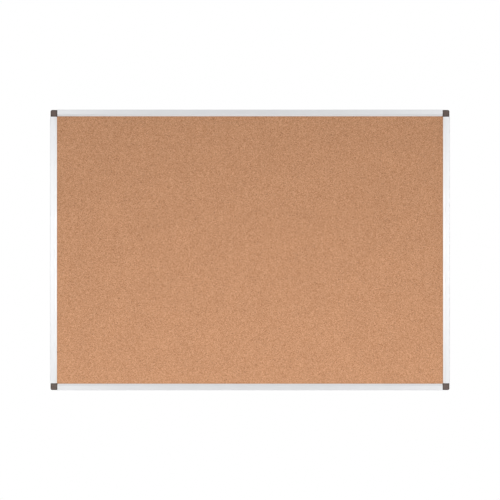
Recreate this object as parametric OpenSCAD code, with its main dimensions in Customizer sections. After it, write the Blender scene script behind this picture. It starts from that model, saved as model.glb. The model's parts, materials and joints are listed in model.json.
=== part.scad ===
// Cork bulletin board in an extruded aluminium frame with plastic corners.
// The board hangs in the XZ plane: +X right, +Z up, front face towards -Y, wall at y = 0.
// Every piece is modelled lying on its back, with z counted from the wall to the front,
// and hang() then stands it up.

/* [Board] */
// Overall width of the board
board_w = 1010; // [450:5:1800]
// Overall height of the board
board_h = 710; // [300:5:1200]
// Depth of the frame, from the wall to its front face
frame_d = 16; // [14:0.5:20]

/* [Rails] */
// Width of a rail's face, seen from the front
face_w = 17; // [16.5:0.5:20]
// Thickness of the extruded wall
wall_t = 1.2; // [1:0.1:1.4]
// Width of the level part of the face, before it slopes down to the cork
level_w = 11.5; // [10.5:0.5:12.5]
// Radius of the outer front edge
edge_r = 1.5; // [0.6:0.1:2]
// Width of the closed chamber that takes a corner's leg
chamber_w = 6.8; // [6.4:0.1:7]

/* [Panel] */
// Thickness of the cork sheet
cork_t = 2; // [1:0.5:3]
// Thickness of the backing sheet
backing_t = 0.6; // [0.4:0.2:1.2]
// Depth of the cork's surface behind the frame's front face
cork_recess = 3.6; // [3.4:0.1:4]

/* [Corners] */
// How far a corner is set in from the outer edges of the rails
corner_inset = 1; // [0:0.1:1.1]
// How far a corner stands past the inner edges of the rails
corner_over = 1.3; // [0:0.1:2]
// Radius of the outer corner of a cap and its block
corner_r = 4.5; // [1:0.5:5]
// Thickness of a cap's plate
cap_t = 2; // [1.8:0.1:2.2]
// Bevel round the front of a cap
cap_bevel = 0.6; // [0.3:0.1:1]
// Length of a corner's leg inside a rail
leg_l = 36; // [34:1:60]
// Diameter of the hole for a wall screw
wall_hole_d = 5; // [4:0.5:5.5]

/* [Hidden] */
$fn = 48;

// Which way each side or corner lies from the board's centre
LEFT = -1;
RIGHT = 1;
BOTTOM = -1;
TOP = 1;

// Levels, counted from the wall
cork_front = frame_d - cork_recess;
cork_back = cork_front - cork_t;
core_back = wall_t + backing_t;
cap_seat = frame_d - cap_t;
chamber_top = frame_d - wall_t;

// Distances in from the frame's outer edge
chamber_end = wall_t + chamber_w;
channel_start = chamber_end + wall_t;
panel_gap = 0.2;
panel_inset = channel_start + panel_gap;
rear_flange_w = face_w - 2;
nose_w = 1.2;
nose_h = 1;
corner_end = face_w + corner_over;
post_w = face_w - 2.6;
notch = post_w + panel_gap - panel_inset;

// Corner block: the pocket behind the cap, and the floor that a wall screw's head sits on
hole_at = 8;
pocket_w = 10.4;
pocket_r = 1.5;
floor_t = 4;
sink_d = 9.4;
sink_depth = 2.2;

// Corner leg, its crush ribs, and the block in it that a rail screw bites into
leg_mid = wall_t + chamber_w / 2;
leg_slack = 0.4;
rib_slack = 0.1;
rib_w = 0.8;
leg_wall = 1.4;
lead_in = 2;
screw_at = 12;
bite_w = 6;

// Cap: the slack between its plate and the ends of the rails, and its prongs
cap_slack = 0.1;
prong_w = 4;
prong_t = 1.2;
prong_l = 5.5;
prong_slack = 0.2;
bead_h = 0.1;
bead_l = 0.8;

// Rail screw
screw_r = 1.4;
screw_head_r = 2.5;
screw_l = 8;
screw_sunk = 0.1;
screw_slack = 0.05;
recess_l = 2.6;
recess_w = 0.6;
recess_depth = 0.8;

eps = 0.01;

// ---------------------------------------------------------------- placing

// Stands a piece up against the wall
module hang() {
    rotate([90, 0, 0]) children();
}

// Moves a piece drawn for the lower left corner, with that corner at the origin,
// to the corner that side and level name
module at_corner(side, level) {
    mirror([side == RIGHT ? 1 : 0, 0, 0])
        mirror([0, level == TOP ? 1 : 0, 0])
            translate([-board_w / 2, -board_h / 2, 0])
                children();
}

// Draws a piece twice, the second time with X and Y exchanged
module both_ways() {
    children();
    mirror([1, -1, 0]) children();
}

// ---------------------------------------------------------------- frame rails

// Section of a rail: x in from the outer edge, y from the wall to the front.
// A closed chamber lies along the outer edge, and a channel that holds the panel inside it.
module rail_section() {
    difference() {
        polygon([
            [0, 0],
            [rear_flange_w, 0],
            [rear_flange_w, wall_t],
            [channel_start, wall_t],
            [channel_start, chamber_top],
            [level_w - 0.5, chamber_top],
            [face_w - nose_w, cork_front],
            [face_w, cork_front],
            [face_w, cork_front + nose_h],
            [level_w, frame_d],
            [0, frame_d]
        ]);
        translate([wall_t, wall_t])
            square([chamber_w, chamber_top - wall_t]);
        // rounded outer front edge
        translate([0, frame_d - edge_r])
            difference() {
                translate([-1, 0]) square([edge_r + 1, edge_r + 1]);
                translate([edge_r, 0]) circle(edge_r);
            }
    }
}

// One rail along X, with its outer edge on y = 0, drilled for a screw near each end
module rail(length) {
    difference() {
        rotate([90, 0, 90])
            linear_extrude(length, center = true) rail_section();
        for (end = [-1, 1])
            translate([end * (length / 2 - screw_at), leg_mid, 0])
                screw_shape(screw_slack, wall_t + 1);
    }
}

module top_rail() {
    color("gainsboro") hang()
        mirror([0, 1, 0]) translate([0, -board_h / 2, 0]) rail(board_w - 2 * corner_end);
}

module bottom_rail() {
    color("gainsboro") hang()
        translate([0, -board_h / 2, 0]) rail(board_w - 2 * corner_end);
}

module left_rail() {
    color("gainsboro") hang()
        translate([-board_w / 2, 0, 0]) mirror([1, -1, 0]) rail(board_h - 2 * corner_end);
}

module right_rail() {
    color("gainsboro") hang()
        mirror([1, 0, 0])
            translate([-board_w / 2, 0, 0]) mirror([1, -1, 0]) rail(board_h - 2 * corner_end);
}

// ---------------------------------------------------------------- panel

// One layer of the panel, notched at its corners to clear the corner blocks
module panel_layer(from, to) {
    layer_w = board_w - 2 * panel_inset;
    layer_h = board_h - 2 * panel_inset;
    translate([0, 0, from])
        linear_extrude(to - from)
            difference() {
                square([layer_w, layer_h], center = true);
                for (side = [LEFT, RIGHT], level = [BOTTOM, TOP])
                    translate([side * layer_w / 2, level * layer_h / 2])
                        square(2 * notch, center = true);
            }
}

module cork_sheet() {
    color("peru") hang() panel_layer(cork_back, cork_front);
}

module core_board() {
    color("burlywood") hang() panel_layer(core_back, cork_back);
}

module backing_sheet() {
    color("tan") hang() panel_layer(wall_t, core_back);
}

// ---------------------------------------------------------------- corner blocks

// The square that a corner fills, from the origin's side of the rails to their ends,
// drawn in by margin and with its outer corner rounded
module corner_plan(margin = 0) {
    from = corner_inset + margin;
    side = corner_end - corner_inset - 2 * margin;
    radius = max(corner_r - margin, 0.4);
    translate([from, from]) {
        translate([radius, 0]) square([side - radius, side]);
        translate([0, radius]) square([side, side - radius]);
        translate([radius, radius]) circle(radius);
    }
}

// The square pocket that a cap's prongs plug into, with rounded corners
module pocket_plan() {
    reach = pocket_w / 2 - pocket_r;
    square([pocket_w, 2 * reach], center = true);
    square([2 * reach, pocket_w], center = true);
    for (x = [-reach, reach], y = [-reach, reach])
        translate([x, y]) circle(pocket_r);
}

// One leg along X, with a tapered tip, crush ribs and two cored-out pockets
module corner_leg() {
    half_w = chamber_w / 2 - leg_slack;
    low = wall_t + leg_slack;
    tip = corner_end + leg_l;
    rib_x = corner_end + 1;
    rib_l = leg_l - lead_in - 2;
    bite_from = corner_end + screw_at - bite_w / 2;
    difference() {
        union() {
            translate([0, leg_mid, low])
                linear_extrude(cap_seat - low)
                    polygon([
                        [corner_end - 1, -half_w], [tip - lead_in, -half_w],
                        [tip, -half_w + 0.8], [tip, half_w - 0.8],
                        [tip - lead_in, half_w], [corner_end - 1, half_w]
                    ]);
            for (z = [wall_t + 3, chamber_top - 3.4])
                translate([rib_x, wall_t + rib_slack, z])
                    cube([rib_l, chamber_w - 2 * rib_slack, rib_w]);
            translate([rib_x, leg_mid - rib_w / 2, wall_t + rib_slack])
                cube([rib_l, rib_w, chamber_top - wall_t - 2 * rib_slack]);
        }
        for (span = [[corner_end + 2, bite_from], [bite_from + bite_w, tip - leg_wall]])
            translate([span[0], leg_mid - half_w + leg_wall, 0])
                cube([span[1] - span[0], 2 * (half_w - leg_wall), cap_seat - leg_wall]);
        translate([corner_end + screw_at, leg_mid, 0])
            cylinder(r = screw_r + screw_slack, h = screw_l + 1);
    }
}

// The block in the corner of the frame, between the ends of two rails
module corner_block() {
    difference() {
        union() {
            linear_extrude(cork_front)
                difference() {
                    corner_plan();
                    both_ways()
                        translate([post_w, channel_start]) square(corner_end);
                }
            linear_extrude(wall_t)
                difference() {
                    corner_plan();
                    translate([rear_flange_w, rear_flange_w]) square(corner_end);
                }
            translate([0, 0, cork_front])
                linear_extrude(cap_seat - cork_front) corner_plan();
        }
        translate([hole_at, hole_at, floor_t])
            linear_extrude(frame_d) pocket_plan();
        translate([hole_at, hole_at, -1])
            cylinder(d = wall_hole_d, h = floor_t + 2);
        translate([hole_at, hole_at, floor_t - sink_depth])
            cylinder(d1 = wall_hole_d, d2 = sink_d, h = sink_depth + eps);
    }
}

module corner(side, level) {
    color("dimgray") hang() at_corner(side, level) {
        corner_block();
        both_ways() corner_leg();
    }
}

// ---------------------------------------------------------------- caps

// The plate that covers a corner, with its front edge bevelled
module cap_plate() {
    translate([0, 0, cap_seat])
        hull() {
            linear_extrude(cap_t - cap_bevel) corner_plan(cap_slack);
            linear_extrude(cap_t) corner_plan(cap_slack + cap_bevel);
        }
}

// One springy prong against the pocket's wall on the +X side, with a bead near its tip
module cap_prong() {
    wall_x = pocket_w / 2 - prong_slack;
    translate([wall_x - prong_t, -prong_w / 2, cap_seat - prong_l])
        cube([prong_t, prong_w, prong_l + 1]);
    translate([wall_x - prong_t, -prong_w / 2, cap_seat - prong_l + bead_l])
        cube([prong_t + bead_h, prong_w, bead_l]);
}

module cap(side, level) {
    color("#6b5d59") hang() at_corner(side, level) {
        cap_plate();
        translate([hole_at, hole_at, 0])
            for (turn = [0:90:270]) rotate(turn) cap_prong();
    }
}

// ---------------------------------------------------------------- rail screws

// Countersunk screw along +Z, or with slack and a longer shank the hole that it sits in
module screw_shape(slack, length) {
    head_h = screw_head_r - screw_r;
    top_r = screw_head_r + slack;
    from = slack > 0 ? 0 : screw_sunk;
    if (slack > 0)
        translate([0, 0, -1]) cylinder(r = top_r, h = 1 + screw_sunk);
    translate([0, 0, screw_sunk])
        cylinder(r1 = top_r, r2 = screw_r + slack, h = head_h);
    translate([0, 0, from])
        cylinder(r = screw_r + slack, h = length - from);
}

module rail_screw() {
    difference() {
        screw_shape(0, screw_l);
        for (turn = [0, 90])
            rotate(turn)
                translate([-recess_l / 2, -recess_w / 2, -1])
                    cube([recess_l, recess_w, 1 + screw_sunk + recess_depth]);
    }
}

module rail_screws() {
    color("silver") hang()
        for (side = [LEFT, RIGHT], level = [BOTTOM, TOP])
            at_corner(side, level)
                both_ways()
                    translate([corner_end + screw_at, leg_mid, 0]) rail_screw();
}

cork_sheet();
core_board();
backing_sheet();
top_rail();
bottom_rail();
left_rail();
right_rail();
corner(LEFT, TOP);  // corner_top_left
corner(RIGHT, TOP);  // corner_top_right
corner(LEFT, BOTTOM);  // corner_bottom_left
corner(RIGHT, BOTTOM);  // corner_bottom_right
cap(LEFT, TOP);  // cap_top_left
cap(RIGHT, TOP);  // cap_top_right
cap(LEFT, BOTTOM);  // cap_bottom_left
cap(RIGHT, BOTTOM);  // cap_bottom_right
rail_screws();
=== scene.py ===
"""Looks of a wall-hung cork bulletin board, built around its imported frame.

The board hangs in the XZ plane with its cork towards -Y and the wall at y = 0. Lengths are in
metres. Each sub-assembly is a class that builds its meshes and dresses them, and each finish
is a small class that builds one material.
"""

import json
import logging
import math
from abc import ABC, abstractmethod
from collections.abc import Callable, Iterable, Sequence
from dataclasses import dataclass
from enum import Enum
from typing import Any

import bmesh
import bpy
from mathutils import Matrix, Vector


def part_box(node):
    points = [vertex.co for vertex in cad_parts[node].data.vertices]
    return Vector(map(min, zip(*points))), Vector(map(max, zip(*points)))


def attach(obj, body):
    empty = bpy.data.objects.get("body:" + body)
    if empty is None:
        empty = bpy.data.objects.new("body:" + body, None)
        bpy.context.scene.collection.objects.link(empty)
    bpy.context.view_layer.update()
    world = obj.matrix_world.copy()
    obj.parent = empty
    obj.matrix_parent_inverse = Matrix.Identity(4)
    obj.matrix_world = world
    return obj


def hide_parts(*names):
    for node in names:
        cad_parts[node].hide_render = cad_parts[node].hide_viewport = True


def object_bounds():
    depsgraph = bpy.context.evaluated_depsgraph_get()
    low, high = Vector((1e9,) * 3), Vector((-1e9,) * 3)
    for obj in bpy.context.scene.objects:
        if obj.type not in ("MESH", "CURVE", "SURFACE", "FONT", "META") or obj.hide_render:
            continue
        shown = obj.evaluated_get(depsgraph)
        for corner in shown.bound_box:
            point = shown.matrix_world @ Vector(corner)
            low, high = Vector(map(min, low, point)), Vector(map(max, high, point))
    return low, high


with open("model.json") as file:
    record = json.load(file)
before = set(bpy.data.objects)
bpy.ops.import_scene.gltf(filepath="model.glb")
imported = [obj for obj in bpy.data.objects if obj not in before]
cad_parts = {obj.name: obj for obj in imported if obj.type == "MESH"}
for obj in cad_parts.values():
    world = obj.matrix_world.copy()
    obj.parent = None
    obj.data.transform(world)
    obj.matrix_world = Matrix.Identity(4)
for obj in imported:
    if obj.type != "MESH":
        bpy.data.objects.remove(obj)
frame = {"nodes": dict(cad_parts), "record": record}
CAD_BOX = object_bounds()
MM = 0.001
NOISE_LOW, NOISE_HIGH = 0.3, 0.7

log = logging.getLogger("bulletin_board")


# ---------------------------------------------------------------------------- places


class Side(Enum):
    """One side of the frame: its rail's name, the way inwards, and the way its section is swept."""

    TOP = ("top_rail", (0, 0, -1), (-1, 0, 0))
    BOTTOM = ("bottom_rail", (0, 0, 1), (1, 0, 0))
    LEFT = ("left_rail", (1, 0, 0), (0, 0, -1))
    RIGHT = ("right_rail", (-1, 0, 0), (0, 0, 1))

    @property
    def node(self) -> str:
        """Name of this side's rail in the frame."""
        return self.value[0]

    @property
    def inward(self) -> Vector:
        """Direction from the outer edge of the frame towards the cork."""
        return Vector(self.value[1])

    @property
    def along(self) -> Vector:
        """Direction in which the rail's section is swept."""
        return Vector(self.value[2])


class Corner(Enum):
    """One corner of the frame: its name, and which way it lies from the board's centre."""

    TOP_LEFT = ("top_left", -1, 1)
    TOP_RIGHT = ("top_right", 1, 1)
    BOTTOM_LEFT = ("bottom_left", -1, -1)
    BOTTOM_RIGHT = ("bottom_right", 1, -1)

    @property
    def label(self) -> str:
        """The corner's name, as the frame's nodes and bodies end."""
        return self.value[0]

    def place(self, sizes: "BoardSizes", across: float, up: float, height: float) -> Vector:
        """Turns a place measured from this corner into one in the row frame.

        Args:
            sizes: The board's sizes.
            across: Distance in from the outer side edge.
            up: Distance in from the outer top or bottom edge.
            height: Distance out from the wall.

        Returns:
            The point in the row frame.
        """
        _, side, level = self.value
        return Vector((side * (sizes.width / 2 - across), -height, level * (sizes.height / 2 - up)))


@dataclass(frozen=True)
class BoardSizes:
    """The board's sizes, read from the frame."""

    width: float
    height: float
    depth: float
    face: float
    wall: float
    cork_front: float
    cork_back: float
    panel_inset: float
    notch: float
    cap_seat: float
    corner_start: float
    corner_end: float
    hole_at: float
    screw_line: float

    @classmethod
    def from_frame(cls, notch: float = 5.2 * MM, screw_head_r: float = 2.5 * MM) -> "BoardSizes":
        """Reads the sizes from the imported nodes' boxes.

        Args:
            notch: Side of the square cut out of each corner of the panel.
            screw_head_r: Radius of a rail screw's head.

        Returns:
            The sizes.
        """
        low, high = CAD_BOX
        rail_low, rail_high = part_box(Side.LEFT.node)
        cork_low, cork_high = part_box("cork_sheet")
        block_low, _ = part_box("corner_bottom_left")
        mount = next(entry for entry in frame["record"]["mounts"] if entry["name"] == "wall_screws")
        return cls(
            width=high.x - low.x,
            height=high.z - low.z,
            depth=-low.y,
            face=rail_high.x - rail_low.x,
            wall=-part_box("backing_sheet")[1].y,
            cork_front=-cork_low.y,
            cork_back=-cork_high.y,
            panel_inset=cork_low.x - low.x,
            notch=notch,
            cap_seat=-block_low.y,
            corner_start=block_low.x - low.x,
            corner_end=rail_low.z - low.z,
            hole_at=(high.x - low.x - mount["dims"]["spacing_x_mm"] * MM) / 2,
            screw_line=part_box("rail_screws")[0].x + screw_head_r - low.x,
        )


# ---------------------------------------------------------------------------- node trees


class Graph:
    """A node tree that is filled with short calls."""

    def __init__(self, tree: bpy.types.NodeTree) -> None:
        """Takes an empty tree."""
        self.tree = tree

    def add(self, kind: str, inputs: dict[Any, Any] | None = None, **settings: Any) -> bpy.types.Node:
        """Adds a node.

        Args:
            kind: The node's type name.
            inputs: Socket name or number to a value, or to the socket that feeds it.
            **settings: The node's own settings.

        Returns:
            The new node.
        """
        node = self.tree.nodes.new(kind)
        for name, value in settings.items():
            setattr(node, name, value)
        self.feed(node, inputs or {})
        return node

    def feed(self, node: bpy.types.Node, inputs: dict[Any, Any]) -> None:
        """Fills a node's inputs.

        Args:
            node: The node.
            inputs: Socket name or number to a value, or to the socket that feeds it.
        """
        for key, value in inputs.items():
            if isinstance(value, bpy.types.NodeSocket):
                self.tree.links.new(value, node.inputs[key])
            else:
                node.inputs[key].default_value = value

    def math(self, operation: str, *values: Any) -> bpy.types.NodeSocket:
        """Adds a Math node on one to three numbers or sockets, and returns its result."""
        return self.add("ShaderNodeMath", dict(enumerate(values)), operation=operation).outputs[0]

    def vector_math(self, operation: str, *values: Any) -> bpy.types.NodeSocket:
        """Adds a Vector Math node on vectors or sockets, and returns its vector."""
        node = self.add("ShaderNodeVectorMath", dict(enumerate(values)), operation=operation)
        return node.outputs["Vector"]

    def remap(self, value: Any, low: Any, high: Any, to_low: float, to_high: float) -> bpy.types.NodeSocket:
        """Maps a value from one range to another, held within the second.

        Args:
            value: The socket to map.
            low: Where the first range starts, as a number or a socket.
            high: Where the first range ends, as a number or a socket.
            to_low: What the start becomes.
            to_high: What the end becomes.

        Returns:
            The mapped value.
        """
        ends = {0: value, 1: low, 2: high, 3: to_low, 4: to_high}
        return self.add("ShaderNodeMapRange", ends).outputs[0]


class Sweep(Graph):
    """A Geometry Nodes tree with named inputs, which runs once and leaves a plain mesh."""

    def __init__(self, name: str, inputs: dict[str, tuple[str, Any]]) -> None:
        """Makes the tree with a Geometry input and one socket for each named input.

        Args:
            name: The tree's name.
            inputs: Name to the socket's type and its value.
        """
        super().__init__(bpy.data.node_groups.new(name, "GeometryNodeTree"))
        face = self.tree.interface
        face.new_socket(name="Geometry", in_out="INPUT", socket_type="NodeSocketGeometry")
        face.new_socket(name="Geometry", in_out="OUTPUT", socket_type="NodeSocketGeometry")
        self.values = {
            face.new_socket(name=key, in_out="INPUT", socket_type=kind).identifier: value
            for key, (kind, value) in inputs.items()
        }
        self.given = self.add("NodeGroupInput").outputs

    def finish_with(self, geometry: bpy.types.NodeSocket) -> None:
        """Ends the tree: makes instances real, sets the material and wires the output.

        Args:
            geometry: What the tree has made.
        """
        real = self.add("GeometryNodeRealizeInstances", {0: geometry}).outputs[0]
        dressed = self.add("GeometryNodeSetMaterial", {0: real, "Material": self.given["Finish"]})
        self.add("NodeGroupOutput", {0: dressed.outputs[0]})

    def carve(self, solid: bpy.types.NodeSocket, tool: bpy.types.NodeSocket) -> bpy.types.NodeSocket:
        """Cuts one solid out of another.

        Args:
            solid: What is cut.
            tool: What cuts it.

        Returns:
            What is left.
        """
        solids = {"Mesh 1": solid, "Mesh 2": tool}
        cut = self.add("GeometryNodeMeshBoolean", solids, operation="DIFFERENCE", solver="EXACT")
        return cut.outputs[0]

    def run(self, host: bpy.types.Mesh) -> bpy.types.Mesh:
        """Runs the tree on a mesh.

        Args:
            host: The mesh that the tree starts from.

        Returns:
            The result as a plain mesh.
        """
        carrier = bpy.data.objects.new(f"{self.tree.name}_carrier", host)
        bpy.context.scene.collection.objects.link(carrier)
        modifier = carrier.modifiers.new(self.tree.name, "NODES")
        modifier.node_group = self.tree
        for identifier, value in self.values.items():
            modifier[identifier] = value
        ready = carrier.evaluated_get(bpy.context.evaluated_depsgraph_get())
        mesh = bpy.data.meshes.new_from_object(ready)
        bpy.data.objects.remove(carrier)
        return mesh


# ---------------------------------------------------------------------------- finishes


@dataclass(frozen=True)
class Finish(ABC):
    """A surface finish, which builds one material."""

    name: str

    def build(self) -> bpy.types.Material:
        """Builds the material.

        Returns:
            The material, with this finish's nodes.
        """
        material = bpy.data.materials.new(self.name)
        material.use_nodes = True
        material.node_tree.nodes.clear()
        graph = Graph(material.node_tree)
        shader = graph.add("ShaderNodeBsdfPrincipled")
        graph.add("ShaderNodeOutputMaterial", {"Surface": shader.outputs[0]})
        place = graph.add("ShaderNodeTexCoord").outputs["Object"]
        self.paint(graph, shader, place)
        return material

    @abstractmethod
    def paint(self, graph: Graph, shader: bpy.types.Node, place: bpy.types.NodeSocket) -> None:
        """Adds this finish's own nodes.

        Args:
            graph: The material's nodes.
            shader: The shader that they feed.
            place: Where a point is, in the row frame.
        """


def noise(graph: Graph, place: Any, scale: float, detail: float = 2.0) -> bpy.types.NodeSocket:
    """Smooth noise from 0 to 1, with this many waves a metre."""
    return graph.add("ShaderNodeTexNoise", {"Vector": place, "Scale": scale, "Detail": detail}).outputs[0]


def ramp(graph: Graph, value: Any, stops: Sequence[tuple[float, tuple[float, float, float]]]) -> Any:
    """Turns a value into a colour.

    Args:
        graph: The material's nodes.
        value: The socket that picks the colour.
        stops: Each stop's place from 0 to 1, and its colour.

    Returns:
        The colour's socket.
    """
    node = graph.add("ShaderNodeValToRGB", {0: value})
    elements = node.color_ramp.elements
    while len(elements) < len(stops):
        elements.new(0.5)
    for element, (at, colour) in zip(elements, stops):
        element.position = at
        element.color = (*colour, 1.0)
    return node.outputs["Color"]


def two_tone(graph: Graph, value: Any, span: tuple[float, float], *tones: tuple[float, float, float]) -> Any:
    """Blends from one colour to another as a value crosses a span."""
    return ramp(graph, value, list(zip(span, tones)))


def shade(graph: Graph, colour: Any, factor: Any) -> bpy.types.NodeSocket:
    """Multiplies a colour by a number."""
    grey = graph.add("ShaderNodeCombineXYZ", {0: factor, 1: factor, 2: factor}).outputs[0]
    return graph.vector_math("MULTIPLY", colour, grey)


def relief(graph: Graph, shader: bpy.types.Node, height: Any, depth: float, strength: float = 1.0) -> None:
    """Gives the shader a bump.

    Args:
        graph: The material's nodes.
        shader: The shader to bump.
        height: The socket that holds the height, from 0 to 1.
        depth: What a height of 1 stands for.
        strength: How much of the bump shows.
    """
    bump = graph.add("ShaderNodeBump", {"Height": height, "Distance": depth, "Strength": strength})
    graph.feed(shader, {"Normal": bump.outputs[0]})


def bent(graph: Graph, place: Any, waves: float, reach: float, detail: float, way: str = "ADD") -> Any:
    """Bends a place to and fro.

    Args:
        graph: The tree's nodes.
        place: The place to bend.
        waves: How many bends there are to a metre.
        reach: How far apart the two ends of a bend lie.
        detail: How many finer layers of bends there are.
        way: ADD to bend one way, SUBTRACT to bend the other.

    Returns:
        The bent place.
    """
    swirl = graph.add("ShaderNodeTexNoise", {"Vector": place, "Scale": waves, "Detail": detail})
    bend = graph.vector_math("SUBTRACT", swirl.outputs["Color"], (0.5, 0.5, 0.5))
    return graph.vector_math(way, place, graph.vector_math("MULTIPLY", bend, (reach, reach, reach)))


def vary(graph: Graph, value: Any, to_low: float, to_high: float) -> bpy.types.NodeSocket:
    """Maps the range that smooth noise keeps to onto another one."""
    return graph.remap(value, NOISE_LOW, NOISE_HIGH, to_low, to_high)


def voronoi(graph: Graph, place: Any, cells: float, output: str, **settings: Any) -> Any:
    """Splits space into this many cells a metre, and returns one of the pattern's outputs."""
    return graph.add("ShaderNodeTexVoronoi", {"Vector": place, "Scale": cells}, **settings).outputs[output]


@dataclass(frozen=True)
class Cork(Finish):
    """Fine agglomerated cork: pressed granules of mixed browns, with dark specks of bark."""

    granules: float = 640.0
    crumbs: float = 1700.0
    crumb_share: float = 0.38
    bend_waves: float = 620.0
    bend_reach: float = 1.6 * MM
    binder_width: float = 0.10
    binder_tone: float = 0.88
    bark_starts: float = 0.965
    bark_full: float = 0.975
    bark_depths: tuple[float, float] = (0.20, 0.40)
    cloud_waves: float = 16.0
    cloud_tones: tuple[float, float] = (0.975, 1.025)
    tone_span: tuple[float, float] = (0.2, 0.8)
    roughness: tuple[float, float] = (0.93, 0.80)
    sheen: float = 0.2
    pore_waves: float = 1900.0
    pore_share: float = 0.45
    rounding: float = 0.25
    relief_depth: float = 0.35 * MM
    relief_strength: float = 0.55
    browns: tuple[tuple[float, tuple[float, float, float]], ...] = (
        (0.05, (0.355, 0.155, 0.068)),
        (0.25, (0.453, 0.218, 0.107)),
        (0.50, (0.541, 0.275, 0.146)),
        (0.75, (0.616, 0.328, 0.183)),
        (0.95, (0.726, 0.405, 0.240)),
    )

    def paint(self, graph: Graph, shader: bpy.types.Node, place: bpy.types.NodeSocket) -> None:
        """Lays granules, crumbs, binder lines and bark specks over each other.

        Args:
            graph: The material's nodes.
            shader: The shader that they feed.
            place: Where a point is, in the row frame.
        """
        irregular = bent(graph, place, self.bend_waves, self.bend_reach, 2.0)
        cells = voronoi(graph, irregular, self.granules, "Color")
        bits = voronoi(graph, irregular, self.crumbs, "Color")
        edges = voronoi(graph, irregular, self.granules, "Distance", feature="DISTANCE_TO_EDGE")
        tone, is_bark, bark_depth = graph.add("ShaderNodeSeparateXYZ", {0: cells}).outputs
        crumb = graph.add("ShaderNodeSeparateXYZ", {0: bits}).outputs[0]
        crumb = graph.math("MULTIPLY", crumb, self.crumb_share)
        mixed = graph.math("MULTIPLY_ADD", tone, 1.0 - self.crumb_share, crumb)
        binder = graph.remap(edges, 0.0, self.binder_width, self.binder_tone, 1.0)
        bark = graph.math(
            "MULTIPLY",
            graph.remap(is_bark, self.bark_starts, self.bark_full, 0.0, 1.0),
            vary(graph, bark_depth, *self.bark_depths),
        )
        clouds = vary(graph, noise(graph, place, self.cloud_waves, detail=4.0), *self.cloud_tones)
        pale = graph.math("MULTIPLY", binder, clouds)
        tint = graph.math("MULTIPLY", pale, graph.math("SUBTRACT", 1.0, bark))
        graph.feed(shader, {
            "Base Color": shade(graph, ramp(graph, mixed, self.browns), tint),
            "Roughness": graph.remap(mixed, *self.tone_span, *self.roughness),
            "Specular IOR Level": self.sheen,
        })
        pores = noise(graph, place, self.pore_waves, detail=3.0)
        rounded = graph.math("MINIMUM", edges, self.rounding)
        height = graph.math("MULTIPLY_ADD", pores, self.pore_share, rounded)
        relief(graph, shader, height, self.relief_depth, self.relief_strength)


@dataclass(frozen=True)
class Anodised(Finish):
    """Satin silver anodising over the fine lines that a die leaves along an extrusion.

    Each pair of waves is how many there are to a metre along the rail, and across it.
    """

    along: tuple[float, float, float] = (1.0, 0.0, 0.0)
    line_waves: tuple[float, float] = (6.0, 5200.0)
    band_waves: tuple[float, float] = (1.5, 900.0)
    cloud_waves: float = 35.0
    band_tone: float = 0.975
    cloud_tone: float = 0.985
    roughness: tuple[float, float] = (0.30, 0.40)
    smear: float = 0.04
    band_share: float = 1.5
    line_depth: float = 0.012 * MM
    tone_span: tuple[float, float] = (0.90, 1.00)
    dark: tuple[float, float, float] = (0.787, 0.794, 0.806)
    light: tuple[float, float, float] = (0.875, 0.883, 0.896)

    def paint(self, graph: Graph, shader: bpy.types.Node, place: bpy.types.NodeSocket) -> None:
        """Draws the die lines out along the rail, as bump, tone and roughness.

        Args:
            graph: The material's nodes.
            shader: The shader that they feed.
            place: Where a point is, in the row frame.
        """
        lines, bands = (
            noise(graph, graph.vector_math("MULTIPLY", place, self._drawn_out(*waves)), 1.0)
            for waves in (self.line_waves, self.band_waves)
        )
        clouds = noise(graph, place, self.cloud_waves, detail=3.0)
        tone = graph.math(
            "MULTIPLY", vary(graph, bands, self.band_tone, 1.0), vary(graph, clouds, self.cloud_tone, 1.0)
        )
        rough = graph.math(
            "ADD", vary(graph, lines, *self.roughness), vary(graph, clouds, 0.0, self.smear)
        )
        graph.feed(shader, {
            "Base Color": two_tone(graph, tone, self.tone_span, self.dark, self.light),
            "Roughness": rough,
            "Metallic": 1.0,
        })
        relief(graph, shader, graph.math("MULTIPLY_ADD", bands, self.band_share, lines), self.line_depth)

    def _drawn_out(self, lengthwise: float, across: float) -> tuple[float, ...]:
        """Gives a scale for each axis, from the waves along the rail and across it."""
        return tuple(lengthwise if part else across for part in self.along)


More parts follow.
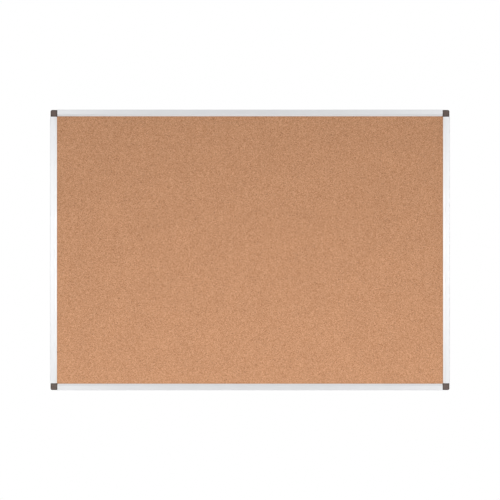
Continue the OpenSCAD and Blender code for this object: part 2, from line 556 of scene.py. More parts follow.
@dataclass(frozen=True)
class MouldedPlastic(Finish):
    """Grey-brown plastic with the fine grain of a spark-finished mould, rubbed a little smooth."""

    dark: tuple[float, float, float] = (0.083, 0.057, 0.048)
    light: tuple[float, float, float] = (0.121, 0.085, 0.072)
    grain: float = 2600.0
    grain_share: float = 0.45
    grain_depth: float = 0.05 * MM
    grain_strength: float = 0.7
    patches: float = 220.0
    tone_span: tuple[float, float] = (0.35, 0.65)
    roughness: tuple[float, float] = (0.42, 0.58)
    # Painted shade: the colour is multiplied by this where a part has no grain, as on a cap's rim.
    rim_shade_tone: float = 0.62
    smooth_gloss: float = 0.12

    def grain_and_unshaded_share(self, graph: Graph, place: bpy.types.NodeSocket) -> Any:
        """Says how much of the mould's grain a point has, from 0 to 1, and so how little painted shade: all
        grain and no painted shade on a plain part.
        """
        return 1.0

    def paint(self, graph: Graph, shader: bpy.types.Node, place: bpy.types.NodeSocket) -> None:
        """Adds the mould's grain, a slight drift of tone, patches rubbed smoother, and painted shade that
        darkens the colour where the grain is left out.

        Args:
            graph: The material's nodes.
            shader: The shader that they feed.
            place: Where a point is, in the row frame.
        """
        pits = noise(graph, place, self.grain, detail=3.0)
        drift = noise(graph, place, self.patches, detail=3.0)
        mixed = graph.math("MULTIPLY", drift, 1.0 - self.grain_share)
        mixed = graph.math("MULTIPLY_ADD", pits, self.grain_share, mixed)
        share = self.grain_and_unshaded_share(graph, place)
        # Painted shade: the colour is darkened where the grain is left out, as on a cap's rim.
        tone = graph.math("MULTIPLY_ADD", share, 1.0 - self.rim_shade_tone, self.rim_shade_tone)
        colour = shade(graph, two_tone(graph, mixed, self.tone_span, self.dark, self.light), tone)
        rubbed = (level - self.smooth_gloss for level in self.roughness)
        rough = graph.remap(drift, *self.tone_span, *rubbed)
        rough = graph.math("MULTIPLY_ADD", share, self.smooth_gloss, rough)
        graph.feed(shader, {"Base Color": colour, "Roughness": rough})
        relief(graph, shader, graph.math("MULTIPLY", pits, share), self.grain_depth, self.grain_strength)


@dataclass(frozen=True)
class CapPlastic(MouldedPlastic):
    """A cap's plastic: grained on its dished face, and left smooth round its rim, where painted shade
    darkens the colour.

    The dished face lies between two distances in from the frame's outer edges.
    """

    half_width: float = 0.5
    half_height: float = 0.35
    face_from: float = 3.0 * MM
    face_to: float = 16.0 * MM
    soft: float = 0.5 * MM

    def grain_and_unshaded_share(self, graph: Graph, place: bpy.types.NodeSocket) -> Any:
        """Says how much of the mould's grain a point has, and so how little painted shade: no grain and full
        painted shade on the rim, all grain and none on the face.

        Args:
            graph: The material's nodes.
            place: Where a point is, in the row frame.

        Returns:
            The share, from 0 to 1.
        """
        x, _, z = graph.add("ShaderNodeSeparateXYZ", {0: place}).outputs
        within = self.face_to
        for part, half in ((x, self.half_width), (z, self.half_height)):
            inset = graph.math("SUBTRACT", half, graph.math("ABSOLUTE", part))
            for reach in (("SUBTRACT", inset, self.face_from), ("SUBTRACT", self.face_to, inset)):
                within = graph.math("MINIMUM", graph.math(*reach), within)
        return graph.remap(within, 0.0, self.soft, 0.0, 1.0)


@dataclass(frozen=True)
class ZincSteel(Finish):
    """Bright zinc plating, slightly clouded and finely scratched."""

    dark: tuple[float, float, float] = (0.50, 0.51, 0.52)
    light: tuple[float, float, float] = (0.74, 0.74, 0.72)
    tone_span: tuple[float, float] = (0.35, 0.65)
    cloud_waves: float = 500.0
    score_waves: tuple[float, float, float] = (900.0, 900.0, 9000.0)
    roughness: tuple[float, float] = (0.22, 0.42)
    score_depth: float = 0.01 * MM
    score_strength: float = 0.6

    def paint(self, graph: Graph, shader: bpy.types.Node, place: bpy.types.NodeSocket) -> None:
        """Clouds the plating and scores it with short scratches.

        Args:
            graph: The material's nodes.
            shader: The shader that they feed.
            place: Where a point is, in the row frame.
        """
        clouds = noise(graph, place, self.cloud_waves, detail=4.0)
        scores = noise(graph, graph.vector_math("MULTIPLY", place, self.score_waves), 1.0)
        graph.feed(shader, {
            "Base Color": two_tone(graph, clouds, self.tone_span, self.dark, self.light),
            "Roughness": vary(graph, clouds, *self.roughness),
            "Metallic": 1.0,
        })
        relief(graph, shader, scores, self.score_depth, self.score_strength)


@dataclass(frozen=True)
class FibreBoard(Finish):
    """Pressed fibre: card or softboard, with matted fibres, a soft nap and a few dark flecks."""

    dark: tuple[float, float, float] = (0.375, 0.268, 0.170)
    light: tuple[float, float, float] = (0.485, 0.358, 0.236)
    fibre: float = 1500.0
    drawn_out: float = 0.14
    curls: float = 70.0
    curl_reach: float = 16.0 * MM
    nap_share: float = 0.38
    cloud_waves: float = 14.0
    cloud_share: float = 0.12
    flecks: float = 210.0
    fleck_edge: tuple[float, float] = (0.06, 0.16)
    fleck_rarity: tuple[float, float] = (0.12, 0.20)
    fleck_tone: float = 0.80
    tone_span: tuple[float, float] = (0.38, 0.62)
    roughness: tuple[float, float] = (0.82, 0.95)
    sheen: float = 0.25
    nap_depth: float = 0.12 * MM
    nap_strength: float = 0.5

    def paint(self, graph: Graph, shader: bpy.types.Node, place: bpy.types.NodeSocket) -> None:
        """Curls two layers of drawn-out fibres over a fine nap, with faint clouds and flecks.

        Args:
            graph: The material's nodes.
            shader: The shader that they feed.
            place: Where a point is, in the row frame.
        """
        layers = []
        lengthwise, upright = (self.drawn_out, 1.0, 1.0), (1.0, 1.0, 2 * self.drawn_out)
        for way, stretch in (("ADD", lengthwise), ("SUBTRACT", upright)):
            curled = bent(graph, place, self.curls, self.curl_reach, 1.0, way)
            stretched = graph.vector_math("MULTIPLY", curled, stretch)
            layers.append(noise(graph, stretched, self.fibre, detail=3.0))
        fibres = graph.math("MULTIPLY", graph.math("ADD", *layers), 0.5)
        fibre_share = 1.0 - self.nap_share - self.cloud_share
        mixed = graph.math("MULTIPLY", noise(graph, place, self.fibre, detail=4.0), self.nap_share)
        mixed = graph.math("MULTIPLY_ADD", fibres, fibre_share, mixed)
        clouds = noise(graph, place, self.cloud_waves, detail=3.0)
        mixed = graph.math("MULTIPLY_ADD", clouds, self.cloud_share, mixed)
        bare = graph.remap(voronoi(graph, place, self.flecks, "Distance"), *self.fleck_edge, 0.0, 1.0)
        kinds = voronoi(graph, place, self.flecks, "Color")
        rare = graph.add("ShaderNodeSeparateXYZ", {0: kinds}).outputs[0]
        tint = graph.math("MAXIMUM", bare, graph.remap(rare, *self.fleck_rarity, self.fleck_tone, 1.0))
        colour = two_tone(graph, mixed, self.tone_span, self.dark, self.light)
        graph.feed(shader, {
            "Base Color": shade(graph, colour, tint),
            "Roughness": graph.remap(mixed, *self.tone_span, *self.roughness),
            "Specular IOR Level": self.sheen,
        })
        relief(graph, shader, mixed, self.nap_depth, self.nap_strength)


# ---------------------------------------------------------------------------- helpers


def new_piece(name: str, mesh: bpy.types.Mesh, body: str, slot: str, *nodes: str) -> bpy.types.Object:
    """Makes an object of a finished mesh and hands it to the frame.

    Args:
        name: The piece's name.
        mesh: Its mesh, already in place in the row frame.
        body: The body that it moves with.
        slot: The record's material slot; not used.
        *nodes: The frame's nodes that it stands for.

    Returns:
        The new object.
    """
    mesh.name = name
    piece = bpy.data.objects.new(name, mesh)
    bpy.context.scene.collection.objects.link(piece)
    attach(piece, body)
    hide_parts(*nodes)
    log.info("%s: %d faces, rides on %s, stands for %s", name, len(mesh.polygons), body, ", ".join(nodes))
    return piece


def dress(node: str, material: bpy.types.Material) -> None:
    """Gives one of the frame's own nodes a material.

    Args:
        node: The node's name.
        material: The material.
    """
    mesh = frame["nodes"][node].data
    mesh.materials.clear()
    mesh.materials.append(material)
    log.info("%s: dressed in %s", node, material.name)


def even_shading(piece: bpy.types.Object, sharp_above: float = 50.0) -> None:
    """Shades a piece smooth, with true flats beside its rounded edges.

    Args:
        piece: The piece to shade.
        sharp_above: The angle in degrees above which an edge stays sharp.
    """
    piece.data.shade_smooth()
    piece.data.set_sharp_from_angle(angle=math.radians(sharp_above))
    modifier = piece.modifiers.new("even_shading", "WEIGHTED_NORMAL")
    modifier.keep_sharp = True


def mesh_from(build: Callable[[bmesh.types.BMesh], None], name: str) -> bpy.types.Mesh:
    """Runs a building function on an empty mesh, then turns every face outwards.

    Args:
        build: The function that adds the geometry.
        name: The mesh's name.

    Returns:
        The mesh.
    """
    work = bmesh.new()
    build(work)
    bmesh.ops.recalc_face_normals(work, faces=work.faces)
    mesh = bpy.data.meshes.new(name)
    work.to_mesh(mesh)
    work.free()
    return mesh


def one_skin(finish: bpy.types.Material) -> Sweep:
    """Builds a tree that joins the overlapping solids of a mesh into one closed skin.

    Args:
        finish: The material that the skin gets.

    Returns:
        The tree.
    """
    tree = Sweep("one_skin", {"Finish": ("NodeSocketMaterial", finish)})
    whole = {"Mesh 2": tree.given["Geometry"], "Self Intersection": True}
    joined = tree.add("GeometryNodeMeshBoolean", whole, operation="UNION", solver="EXACT")
    tree.finish_with(joined.outputs[0])
    return tree


# ---------------------------------------------------------------------------- panel


@dataclass(frozen=True)
class Panel:
    """The cork face with its softboard core and backing card."""

    sizes: BoardSizes
    cell: float = 3.2 * MM
    swell: float = 0.10 * MM
    granules: float = 260.0
    draw_out: float = 4.0
    seed: float = 4.0
    sharp_above: float = 50.0
    softboard: tuple[tuple[float, float, float], ...] = ((0.30, 0.21, 0.13), (0.46, 0.34, 0.22))
    softboard_fibre: float = 1100.0

    def build(self) -> None:
        """Builds the cork face, and dresses the core and the backing."""
        cork = Cork("sanded_cork").build()
        relief_tree = self._relief_tree(cork)
        piece = new_piece("cork_face", relief_tree.run(self._sheet()), "board", "cork", "cork_sheet")
        piece.data.shade_smooth()
        piece.data.set_sharp_from_angle(angle=math.radians(self.sharp_above))
        dress("core_board", FibreBoard("softboard", *self.softboard, self.softboard_fibre).build())
        dress("backing_sheet", FibreBoard("kraft_card").build())

    def _sheet(self) -> bpy.types.Mesh:
        """Draws the sheet, with its corners notched and its open face divided into small cells.

        Returns:
            The sheet's mesh, with the points of its open face marked.
        """
        half_w, half_h = (
            side / 2 - self.sizes.panel_inset for side in (self.sizes.width, self.sizes.height)
        )
        open_w, open_h = (side / 2 - self.sizes.face for side in (self.sizes.width, self.sizes.height))
        columns, rows = (round(2 * side / self.cell) for side in (open_w, open_h))
        front, back = -self.sizes.cork_front, -self.sizes.cork_back
        verts = [
            (open_w * (2 * i / columns - 1), front, open_h * (2 * j / rows - 1))
            for j in range(rows + 1)
            for i in range(columns + 1)
        ]

        def at(i: int, j: int) -> int:
            """Gives the number of the grid's vertex in column i and row j."""
            return j * (columns + 1) + i

        faces: list[Sequence[int]] = [
            (at(i, j), at(i + 1, j), at(i + 1, j + 1), at(i, j + 1))
            for j in range(rows)
            for i in range(columns)
        ]
        inner_w, inner_h = half_w - self.sizes.notch, half_h - self.sizes.notch
        outline = [
            (inner_w, -half_h), (inner_w, -inner_h), (half_w, -inner_h),
            (half_w, inner_h), (inner_w, inner_h), (inner_w, half_h),
            (-inner_w, half_h), (-inner_w, inner_h), (-half_w, inner_h),
            (-half_w, -inner_h), (-inner_w, -inner_h), (-inner_w, -half_h),
        ]
        rim, count = len(verts), len(outline)
        verts += [(x, y, z) for y in (front, back) for x, z in outline]
        edges_of_opening = [
            [at(i, 0) for i in range(columns, -1, -1)],
            [at(columns, j) for j in range(rows, -1, -1)],
            [at(i, rows) for i in range(columns + 1)],
            [at(0, j) for j in range(rows + 1)],
        ]
        for index, edge in enumerate(edges_of_opening):
            first = 3 * index - 2
            faces.append([rim + (first + step) % count for step in range(4)] + edge)
        for k in range(count):
            after = (k + 1) % count
            faces.append((rim + k, rim + after, rim + count + after, rim + count + k))
        faces.append([rim + count + k for k in range(count)])
        mesh = bpy.data.meshes.new("cork_sheet_plain")
        mesh.from_pydata(verts, [], faces)
        inside = mesh.attributes.new("open_face", "FLOAT", "POINT")
        for j in range(1, rows):
            for i in range(1, columns):
                inside.data[at(i, j)].value = 1.0
        work = bmesh.new()
        work.from_mesh(mesh)
        bmesh.ops.recalc_face_normals(work, faces=work.faces)
        work.to_mesh(mesh)
        work.free()
        return mesh

    def _relief_tree(self, cork: bpy.types.Material) -> Sweep:
        """Builds the tree that raises and sinks the open face like pressed granules.

        Args:
            cork: The material that the sheet gets.

        Returns:
            The tree.
        """
        tree = Sweep("pressed_granules", {
            "Depth": ("NodeSocketFloat", self.swell),
            "Granules": ("NodeSocketFloat", self.granules),
            "Seed": ("NodeSocketFloat", self.seed),
            "Finish": ("NodeSocketMaterial", cork),
        })
        granule = tree.add(
            "ShaderNodeTexNoise",
            {"W": tree.given["Seed"], "Scale": tree.given["Granules"], "Detail": 3.0},
            noise_dimensions="4D",
        ).outputs[0]
        inside = tree.add("GeometryNodeInputNamedAttribute", {"Name": "open_face"}, data_type="FLOAT")
        rise = tree.math("MULTIPLY", tree.math("SUBTRACT", granule, 0.5), tree.given["Depth"])
        rise = tree.math("MULTIPLY", tree.math("MULTIPLY", rise, -self.draw_out), inside.outputs[0])
        lift = tree.add("ShaderNodeCombineXYZ", {1: rise}).outputs[0]
        moved = tree.add("GeometryNodeSetPosition", {0: tree.given["Geometry"], "Offset": lift})
        tree.finish_with(moved.outputs[0])
        return tree


# ---------------------------------------------------------------------------- rails


@dataclass(frozen=True)
class FrameRails:
    """The four extruded aluminium rails.

    A section is drawn with u counted in from the outer edge and v out from the wall. Each of
    its points carries the radius that it is rounded to.
    """

    sizes: BoardSizes
    level_width: float = 11.5 * MM
    nose_width: float = 1.2 * MM
    nose_height: float = 1.0 * MM
    slope_inset: float = 0.5 * MM
    chamber_width: float = 6.8 * MM
    rear_lip: float = 2.0 * MM
    soft_edge: float = 0.22 * MM
    nose_edge: float = 0.44 * MM
    bend_edge: float = 1.32 * MM
    outer_edge: float = 1.5 * MM
    arc_steps: int = 5
    weld: float = 0.001 * MM
    screw_from_end: float = 12.0 * MM
    sink_radius: float = 2.65 * MM
    sink_sides: int = 40
    past_wall: float = 1.5

    def build(self) -> None:
        """Builds one rail for each side."""
        for side in Side:
            along = tuple(abs(part) for part in side.along)
            finish = Anodised(f"anodised_{side.name.lower()}", along).build()
            low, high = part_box(side.node)
            length = max(high.x - low.x, high.z - low.z)
            mesh = self._tree(length, finish).run(self._section())
            mesh.transform(self._stand(side, length))
            piece = new_piece(f"{side.node}_extrusion", mesh, "board", "anodised_aluminium", side.node)
            even_shading(piece)

    def _stand(self, side: Side, length: float) -> Matrix:
        """Gives the move that stands a swept section up at its side of the board.

        Args:
            side: The side.
            length: The rail's length.

        Returns:
            The move, as a matrix.
        """
        front = Vector((0.0, -1.0, 0.0))
        reach = self.sizes.width if side in (Side.LEFT, Side.RIGHT) else self.sizes.height
        corner = -side.inward * reach / 2 - side.along * length / 2
        turn = Matrix((side.inward, front, side.along)).transposed().to_4x4()
        return Matrix.Translation(corner) @ turn

    def _section(self) -> bpy.types.Mesh:
        """Draws the outline and the chamber of the rail's section.

        Returns:
            A mesh of edges, with each point's rounding.
        """
        face, depth, wall = self.sizes.face, self.sizes.depth, self.sizes.wall
        cork = self.sizes.cork_front
        channel = 2 * wall + self.chamber_width
        soft = self.soft_edge
        outline = [
            (0.0, 0.0, soft),
            (face - self.rear_lip, 0.0, soft),
            (face - self.rear_lip, wall, soft),
            (channel, wall, soft),
            (channel, depth - wall, soft),
            (self.level_width - self.slope_inset, depth - wall, soft),
            (face - self.nose_width, cork, soft),
            (face, cork, self.nose_edge),
            (face, cork + self.nose_height, self.nose_edge),
            (self.level_width, depth, self.bend_edge),
            (0.0, depth, self.outer_edge),
        ]
        inner, outer = wall, wall + self.chamber_width
        chamber = [(u, v, soft) for u, v in (
            (inner, inner), (inner, depth - wall), (outer, depth - wall), (outer, inner)
        )]
        mesh = bpy.data.meshes.new("rail_section")
        loops = [outline, chamber]
        points = [point for loop in loops for point in loop]
        edges = []
        for loop in loops:
            start = len(edges)
            edges += [(start + k, start + (k + 1) % len(loop)) for k in range(len(loop))]
        mesh.from_pydata([(u, v, 0.0) for u, v, _ in points], edges, [])
        radius = mesh.attributes.new("round_to", "FLOAT", "POINT")
        radius.data.foreach_set("value", [r for _, _, r in points])
        return mesh

    def _tree(self, length: float, finish: bpy.types.Material) -> Sweep:
        """Builds the tree that rounds, fills and sweeps the section, and sinks its screw holes.

        Args:
            length: The rail's length.
            finish: The material that the rail gets.

        Returns:
            The tree.
        """
        tree = Sweep("rail_extrusion", {
            "Length": ("NodeSocketFloat", length),
            "Arc Steps": ("NodeSocketInt", self.arc_steps),
            "Wall": ("NodeSocketFloat", self.sizes.wall),
            "Screw Line": ("NodeSocketFloat", self.sizes.screw_line),
            "Screw From End": ("NodeSocketFloat", self.screw_from_end),
            "Sink Radius": ("NodeSocketFloat", self.sink_radius),
            "Finish": ("NodeSocketMaterial", finish),
        })
        given = tree.given
        curve = tree.add("GeometryNodeMeshToCurve", {0: given["Geometry"]})
        radius = tree.add("GeometryNodeInputNamedAttribute", {"Name": "round_to"}, data_type="FLOAT")
        rounded = tree.add("GeometryNodeFilletCurve", mode="POLY")
        tree.feed(rounded, {
            "Curve": curve.outputs[0], "Radius": radius.outputs[0], "Count": given["Arc Steps"],
        })
        end_face = tree.add("GeometryNodeFillCurve", {"Curve": rounded.outputs[0]}, mode="NGONS").outputs[0]
        far = tree.add("ShaderNodeCombineXYZ", {2: given["Length"]}).outputs[0]
        swept = tree.add(
            "GeometryNodeExtrudeMesh", {"Mesh": end_face, "Offset": far, "Individual": False}, mode="FACES"
        ).outputs[0]
        near_end = tree.add("GeometryNodeFlipFaces", {0: end_face}).outputs[0]
        joined = tree.add("GeometryNodeJoinGeometry")
        for part in (swept, near_end):
            tree.tree.links.new(part, joined.inputs[0])
        bar = tree.add("GeometryNodeMergeByDistance", {0: joined.outputs[0], "Distance": self.weld})
        tree.finish_with(tree.carve(bar.outputs[0], self._sinks(tree)))
        return tree

    def _sinks(self, tree: Sweep) -> bpy.types.NodeSocket:
        """Adds the two cones that cut the countersunk holes.

        Args:
            tree: The tree that they are added to.

        Returns:
            Both cones.
        """
        given = tree.given
        deep = tree.math("MULTIPLY", given["Wall"], self.past_wall)
        cone = tree.add("GeometryNodeMeshCone", {
            "Vertices": self.sink_sides,
            "Radius Bottom": tree.math("ADD", given["Sink Radius"], given["Wall"]),
            "Radius Top": tree.math("SUBTRACT", given["Sink Radius"], deep),
            "Depth": tree.math("ADD", given["Wall"], deep),
        }).outputs[0]
        behind = tree.math("MULTIPLY", given["Wall"], -1.0)
        first = tree.add("ShaderNodeCombineXYZ", {
            0: given["Screw Line"], 1: behind, 2: given["Screw From End"],
        }).outputs[0]
        span = tree.math("MULTIPLY_ADD", given["Screw From End"], -2.0, given["Length"])
        step = tree.add("ShaderNodeCombineXYZ", {2: span}).outputs[0]
        places = tree.add("GeometryNodeMeshLine", {"Count": 2, "Start Location": first, "Offset": step})
        cones = tree.add("GeometryNodeInstanceOnPoints", {
            "Points": places.outputs[0], "Instance": cone, "Rotation": (-math.pi / 2, 0.0, 0.0),
        })
        return tree.add("GeometryNodeRealizeInstances", {0: cones.outputs[0]}).outputs[0]


# ---------------------------------------------------------------------------- corners


@dataclass(frozen=True)
class CornerCaps:
    """The four snap-on caps, and the corner blocks behind them.

    A cap is drawn with a and b counted in from the frame's two outer edges.
    """

    sizes: BoardSizes
    slack: float = 0.1 * MM
    outer_radius: float = 4.4 * MM
    inner_radius: float = 0.4 * MM
    edge_round: float = 0.7 * MM
    rim_width: float = 2.2 * MM
    dish_depth: float = 0.22 * MM
    dish_slope: float = 0.5 * MM
    face_rings: tuple[float, ...] = (0.45, 0.75)
    least_radius: float = 0.02 * MM
    arc_steps: int = 8
    round_steps: int = 6
    slope_steps: int = 4
    prong_reach: float = 5.0 * MM
    prong_thickness: float = 1.2 * MM
    prong_width: float = 4.0 * MM
    prong_length: float = 5.5 * MM
    prong_root: float = 0.4 * MM
    bead: float = 0.1 * MM
    bead_at: tuple[float, float, float] = (2.0 * MM, 1.5 * MM, 1.1 * MM)
    tip_inset: float = 0.2 * MM
    block_tones: tuple[tuple[float, float, float], ...] = ((0.076, 0.053, 0.045), (0.112, 0.079, 0.067))
    face_tone: tuple[float, float, float] = (0.135, 0.096, 0.082)

    def build(self) -> None:
        """Builds the caps and dresses the blocks."""
        block_finish = MouldedPlastic("corner_plastic", *self.block_tones).build()
        rim = self.slack + self.rim_width
        # The cap's rim, outside face_from and face_to, gets painted shade in its colour.
        cap_finish = CapPlastic(
            "cap_plastic",
            light=self.face_tone,
            half_width=self.sizes.width / 2,
            half_height=self.sizes.height / 2,
            face_from=self.sizes.corner_start + rim,
            face_to=self.sizes.corner_end - rim,
        )
        skin = one_skin(cap_finish.build())
        for corner in Corner:
            dress(f"corner_{corner.label}", block_finish)
            body = f"cap_{corner.label}"
            mesh = skin.run(mesh_from(lambda work: self._cap(work, corner), f"{body}_solids"))
            even_shading(new_piece(f"{body}_cover", mesh, body, "cap_plastic", body))

    def _outline(self, inset: float) -> list[tuple[float, float]]:
        """Gives the cap's outline, drawn in by an inset.

        Args:
            inset: How far in the outline is drawn.

        Returns:
            The outline's points, as (a, b).
        """
        near = self.sizes.corner_start + self.slack + inset
        far = self.sizes.corner_end - self.slack - inset
        outer, inner = (
            max(radius - inset, self.least_radius) for radius in (self.outer_radius, self.inner_radius)
        )
        corners = (
            (near + outer, near + outer, outer, math.pi),
            (far - inner, near + inner, inner, 1.5 * math.pi),
            (far - inner, far - inner, inner, 0.0),
            (near + inner, far - inner, inner, 0.5 * math.pi),
        )
        points = []
        for a, b, radius, start in corners:
            for step in range(self.arc_steps + 1):
                turn = start + 0.5 * math.pi * step / self.arc_steps
                points.append((a + radius * math.cos(turn), b + radius * math.sin(turn)))
        return points

    def _levels(self) -> list[tuple[float, float]]:
        """Gives the cap's profile, from its seat to its middle.

        Returns:
            The profile's points, as (inset, height).
        """
        front, soft, slope_from = self.sizes.depth, self.edge_round, self.rim_width
        levels = [(0.0, self.sizes.cap_seat)]
        for step in range(self.round_steps + 1):
            turn = 0.5 * math.pi * step / self.round_steps
            levels.append((soft * (1 - math.cos(turn)), front - soft * (1 - math.sin(turn))))
        for step in range(self.slope_steps + 1):
            share = step / self.slope_steps
            drop = self.dish_depth * share * share * (3 - 2 * share)
            levels.append((slope_from + self.dish_slope * share, front - drop))
        dish_from = slope_from + self.dish_slope
        middle = (self.sizes.corner_end - self.sizes.corner_start) / 2 - self.slack
        for share in self.face_rings:
            levels.append((dish_from + (middle - dish_from) * share, front - self.dish_depth))
        return levels

    def _cap(self, work: bmesh.types.BMesh, corner: Corner) -> None:
        """Adds the plate and the four prongs of one cap.

        Args:
            work: The mesh that they are added to.
            corner: The cap's corner.
        """
        rings = [
            [work.verts.new(corner.place(self.sizes, a, b, height)) for a, b in self._outline(inset)]
            for inset, height in self._levels()
        ]
        for low, high in zip(rings, rings[1:]):
            for k in range(len(low)):
                after = (k + 1) % len(low)
                work.faces.new((low[k], low[after], high[after], high[k]))
        work.faces.new(rings[0])
        work.faces.new(rings[-1])
        for quarter in range(4):
            self._prong(work, corner, quarter)

    def _prong(self, work: bmesh.types.BMesh, corner: Corner, quarter: int) -> None:
        """Adds one springy prong, with a bead near its tip.

        Args:
            work: The mesh that it is added to.
            corner: The cap's corner.
            quarter: How many quarter turns it stands round from the first prong.
        """
        root = self.sizes.cap_seat + self.prong_root
        tip = self.sizes.cap_seat - self.prong_length
        outside, inside = self.prong_reach, self.prong_reach - self.prong_thickness
        bead_root, *bead_crest = (tip + up for up in self.bead_at)
        profile = [
            (inside, root), (outside, root), (outside, bead_root),
            *((outside + self.bead, height) for height in bead_crest),
            (outside - self.tip_inset, tip), (inside, tip),
        ]
        cos, sin = ((1, 0), (0, 1), (-1, 0), (0, -1))[quarter]
        layers = []
        for sideways in (-self.prong_width / 2, self.prong_width / 2):
            layers.append([
                work.verts.new(corner.place(
                    self.sizes,
                    self.sizes.hole_at + reach * cos - sideways * sin,
                    self.sizes.hole_at + reach * sin + sideways * cos,
                    height,
                ))
                for reach, height in profile
            ])
        near, far = layers
        for k in range(len(profile)):
            after = (k + 1) % len(profile)
            work.faces.new((near[k], near[after], far[after], far[k]))
        work.faces.new(near)
        work.faces.new(far)


# ---------------------------------------------------------------------------- screws


@dataclass(frozen=True)
class RailScrews:
    """The eight countersunk self-tapping screws that lock the rails to the corner blocks.

    The thread's start and the recess's arm, width and depth are shares of the head's radius,
    and the point's length and its blunt end are shares of the shank's.
    """

    sizes: BoardSizes
    head_radius: float = 2.5 * MM
    shank_radius: float = 1.25 * MM
    length: float = 7.9 * MM
    sunk: float = 0.1 * MM
    pitch: float = 1.1 * MM
    thread: float = 0.18 * MM
    from_end: float = 12.0 * MM
    thread_starts: float = 0.6
    point_length: float = 1.6
    point_blunt: float = 0.15
    recess: tuple[float, float, float] = (1.06, 0.25, 0.64)
    around: int = 28
    rings: int = 64
    seed: int = 7
    sharp_above: float = 38.0

    def build(self) -> None:
        """Builds the screws as one piece."""
        mesh = self._tree(ZincSteel("zinc_plating").build()).run(self._places())
        piece = new_piece("rail_screw_set", mesh, "board", "screw_steel", "rail_screws")
        even_shading(piece, self.sharp_above)

    def _places(self) -> bpy.types.Mesh:
        """Marks where each screw's head sits, two to a corner.

        Returns:
            A mesh of points.
        """
        line, end = self.sizes.screw_line, self.sizes.corner_end + self.from_end
        points = [
            corner.place(self.sizes, a, b, self.sunk)
            for corner in Corner
            for a, b in ((end, line), (line, end))
        ]
        mesh = bpy.data.meshes.new("screw_places")
        mesh.from_pydata(points, [], [])
        return mesh

    def _tree(self, finish: bpy.types.Material) -> Sweep:
        """Builds the tree that makes one screw and sets it, turned at random, at every place.

        Args:
            finish: The material that the screws get.

        Returns:
            The tree.
        """
        tree = Sweep("rail_screw", {
            "Head Radius": ("NodeSocketFloat", self.head_radius),
            "Shank Radius": ("NodeSocketFloat", self.shank_radius),
            "Length": ("NodeSocketFloat", self.length),
            "Pitch": ("NodeSocketFloat", self.pitch),
            "Thread": ("NodeSocketFloat", self.thread),
            "Around": ("NodeSocketInt", self.around),
            "Rings": ("NodeSocketInt", self.rings),
            "Seed": ("NodeSocketInt", self.seed),
            "Finish": ("NodeSocketMaterial", finish),
        })
        given = tree.given
        blank = tree.add(
            "GeometryNodeSetPosition", {0: self._bar(tree), "Position": self._turned(tree)}
        ).outputs[0]
        screw = tree.carve(blank, self._recess(tree))
        turn = tree.add(
            "FunctionNodeRandomValue", {2: 0.0, 3: math.pi, "Seed": given["Seed"]}, data_type="FLOAT"
        )
        spin = tree.add("ShaderNodeCombineXYZ", {0: math.pi / 2, 1: turn.outputs[1]}).outputs[0]
        placed = tree.add("GeometryNodeInstanceOnPoints", {
            "Points": given["Geometry"], "Instance": screw, "Rotation": spin,
        })
        tree.finish_with(placed.outputs[0])
        return tree

    @staticmethod
    def _bar(tree: Sweep) -> bpy.types.NodeSocket:
        """Adds a bar of radius 1 along +Z, ringed closely enough to carry the thread.

        Args:
            tree: The tree that it is added to.

        Returns:
            The bar.
        """
        given = tree.given
        bar = tree.add("GeometryNodeMeshCylinder", {
            "Vertices": given["Around"], "Side Segments": given["Rings"],
            "Radius": 1.0, "Depth": given["Length"],
        }).outputs[0]
        up = tree.add("ShaderNodeCombineXYZ", {2: tree.math("MULTIPLY", given["Length"], 0.5)}).outputs[0]
        return tree.add("GeometryNodeTransform", {0: bar, "Translation": up}).outputs[0]

    def _turned(self, tree: Sweep) -> bpy.types.NodeSocket:
        """Gives each point of the bar its place on the screw: head, shank, wound thread and point.

        Args:
            tree: The tree that works it out.

        Returns:
            The place.
        """
        given = tree.given
        place = tree.add("GeometryNodeInputPosition").outputs[0]
        x, y, along = tree.add("ShaderNodeSeparateXYZ", {0: place}).outputs
        head = tree.math("SUBTRACT", given["Head Radius"], along)
        core = tree.math("MAXIMUM", head, given["Shank Radius"])
        turns = tree.math("DIVIDE", tree.math("ARCTAN2", y, x), math.tau)
        phase = tree.math("SUBTRACT", tree.math("DIVIDE", along, given["Pitch"]), turns)
        # A wave of straight slopes that stands above 0 for half of each turn, with its crest at 1.
        ridge = tree.math("MULTIPLY_ADD", tree.math("PINGPONG", phase, 0.5), 4.0, -1.0)
        ridge = tree.math("MAXIMUM", ridge, 0.0)
        starts = tree.math("MULTIPLY", given["Head Radius"], self.thread_starts)
        full = tree.math("ADD", starts, given["Pitch"])
        ridge = tree.math("MULTIPLY", ridge, tree.remap(along, starts, full, 0.0, 1.0))
        radius = tree.math("MULTIPLY_ADD", ridge, given["Thread"], core)
        point = tree.math("MULTIPLY_ADD", given["Shank Radius"], -self.point_length, given["Length"])
        taper = tree.remap(along, point, given["Length"], 1.0, self.point_blunt)
        radius = tree.math("MULTIPLY", radius, taper)
        spread = tree.add("ShaderNodeCombineXYZ", {0: radius, 1: radius, 2: 1.0}).outputs[0]
        return tree.vector_math("MULTIPLY", place, spread)

    def _recess(self, tree: Sweep) -> bpy.types.NodeSocket:
        """Adds the cross that is sunk into the head.

        Args:
            tree: The tree that it is added to.

        Returns:
            The cross.
        """
        reach = tree.given["Head Radius"]
        arm, width, deep = (tree.math("MULTIPLY", reach, share) for share in self.recess)
        cross = tree.add("GeometryNodeMeshBoolean", operation="UNION", solver="EXACT")
        for x, y in ((arm, width), (width, arm)):
            size = tree.add("ShaderNodeCombineXYZ", {0: x, 1: y, 2: deep}).outputs[0]
            bar = tree.add("GeometryNodeMeshCube", {"Size": size}).outputs[0]
            tree.tree.links.new(bar, cross.inputs["Mesh 2"])
        return cross.outputs[0]


# ---------------------------------------------------------------------------- studio


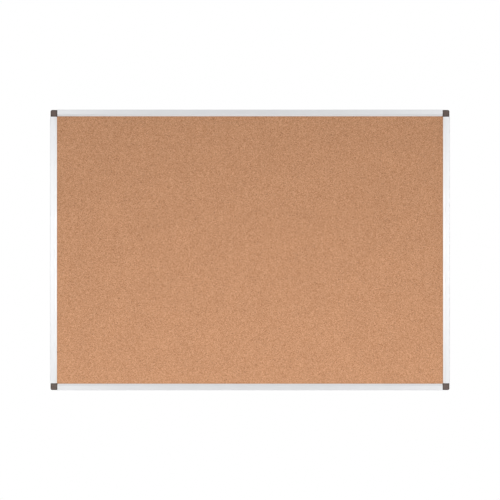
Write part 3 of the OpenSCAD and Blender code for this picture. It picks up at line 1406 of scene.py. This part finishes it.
@dataclass(frozen=True)
class Lamp:
    """One soft rectangular lamp."""

    name: str
    place: tuple[float, float, float]
    target: tuple[float, float, float]
    size: tuple[float, float]
    power: float
    mirrored: bool = True

    def hang(self) -> None:
        """Hangs the lamp, facing its target and hidden from the camera."""
        panel = bpy.data.lights.new(self.name, "AREA")
        panel.shape = "RECTANGLE"
        panel.size, panel.size_y = self.size
        panel.energy = self.power
        lamp = bpy.data.objects.new(self.name, panel)
        lamp.location = self.place
        lamp.visible_camera = False
        lamp.visible_glossy = self.mirrored
        facing = Vector(self.target) - Vector(self.place)
        lamp.rotation_euler = facing.to_track_quat("-Z", "Y").to_euler()
        bpy.context.scene.collection.objects.link(lamp)


LAMPS = (
    *(
        Lamp(
            "side_panel",
            place=(side * 1.15, face * 1.7, 0.0),
            target=(side * 0.4, 0.0, 0.0),
            size=(0.5, 0.7),
            power=2.9,
        )
        for side in (-1, 1)
        for face in (-1, 1)
    ),
    Lamp(
        "low_panel",
        place=(0.0, -0.9, -0.4),
        target=(0.0, 0.0, -0.4),
        size=(2.2, 0.5),
        power=3.6,
        mirrored=False,
    ),
)


@dataclass(frozen=True)
class Studio:
    """A white studio: even light all round, softer from above, a pale floor, and the camera."""

    sizes: BoardSizes
    distance: float = 4.0
    sees_to: float = 50.0
    picture_side: float = 500.0
    board_in_picture: float = 399.8
    from_sides: float = 0.80
    from_above: float = 1.95
    above_limit: float = 0.88
    above_falls: float = 3.0
    head_on: float = 0.79
    head_on_starts: float = 0.8
    floor_below: float = 0.9
    floor_radius: float = 1.6
    floor_sides: int = 96
    floor_tone: float = 0.92
    floor_roughness: float = 0.9

    def build(self) -> None:
        """Sets the camera, the surroundings, the lamps and the floor."""
        bpy.context.scene.view_settings.view_transform = "Standard"
        self._camera()
        self._surroundings()
        for lamp in LAMPS:
            lamp.hang()
        self._floor()

    def _camera(self) -> None:
        """Places the camera square on to the board, so that the board fills its share of the picture."""
        lens = bpy.data.cameras.new("camera")
        seen = self.sizes.width * self.picture_side / self.board_in_picture
        lens.lens = lens.sensor_width * self.distance / seen
        lens.clip_end = self.sees_to
        camera = bpy.data.objects.new("camera", lens)
        camera.location = (0.0, -self.distance - self.sizes.depth, 0.0)
        camera.rotation_euler = (math.pi / 2, 0.0, 0.0)
        bpy.context.scene.collection.objects.link(camera)
        bpy.context.scene.camera = camera

    def _surroundings(self) -> None:
        """Makes a plain white backdrop that lights the board from its sides, above and head on."""
        world = bpy.data.worlds.new("studio")
        world.use_nodes = True
        world.node_tree.nodes.clear()
        graph = Graph(world.node_tree)
        towards = graph.add("ShaderNodeTexCoord").outputs["Generated"]
        parts = graph.add("ShaderNodeSeparateXYZ", {0: towards})
        sides = graph.math("MULTIPLY", graph.math("ABSOLUTE", parts.outputs[0]), self.from_sides)
        upward = graph.math("MAXIMUM", parts.outputs[2], 0.0)
        above = graph.math("MULTIPLY", graph.math("POWER", upward, self.above_falls), self.from_above)
        above = graph.math("MINIMUM", above, self.above_limit)
        ahead = graph.math("ABSOLUTE", parts.outputs[1])
        ahead = graph.remap(ahead, self.head_on_starts, 1.0, 0.0, self.head_on)
        level = graph.math("ADD", graph.math("ADD", sides, above), ahead)
        white = (1.0, 1.0, 1.0, 1.0)
        lit = graph.add("ShaderNodeBackground", {"Color": white, "Strength": level})
        plain = graph.add("ShaderNodeBackground", {"Color": white, "Strength": 1.0})
        seen = graph.add("ShaderNodeLightPath").outputs["Is Camera Ray"]
        mixed = graph.add("ShaderNodeMixShader", {0: seen, 1: lit.outputs[0], 2: plain.outputs[0]})
        graph.add("ShaderNodeOutputWorld", {"Surface": mixed.outputs[0]})
        bpy.context.scene.world = world

    def _floor(self) -> None:
        """Lays a round pale floor under the board."""
        mesh = bpy.data.meshes.new("floor")
        turns = [math.tau * k / self.floor_sides for k in range(self.floor_sides)]
        rim = [
            (self.floor_radius * math.cos(turn), self.floor_radius * math.sin(turn), -self.floor_below)
            for turn in turns
        ]
        mesh.from_pydata(rim, [], [range(self.floor_sides)])
        pale = bpy.data.materials.new("pale_floor")
        pale.use_nodes = True
        shader = pale.node_tree.nodes["Principled BSDF"]
        shader.inputs["Base Color"].default_value = (*(self.floor_tone,) * 3, 1.0)
        shader.inputs["Roughness"].default_value = self.floor_roughness
        mesh.materials.append(pale)
        floor = bpy.data.objects.new("floor", mesh)
        bpy.context.scene.collection.objects.link(floor)


# ---------------------------------------------------------------------------- main


def main() -> None:
    """Builds the board and its studio in order."""
    logging.basicConfig(level=logging.INFO, format="%(name)s: %(message)s")
    sizes = BoardSizes.from_frame()
    log.info("%s", sizes)
    Studio(sizes).build()
    for assembly in (Panel, FrameRails, CornerCaps, RailScrews):
        assembly(sizes).build()


if __name__ == "__main__":
    main()
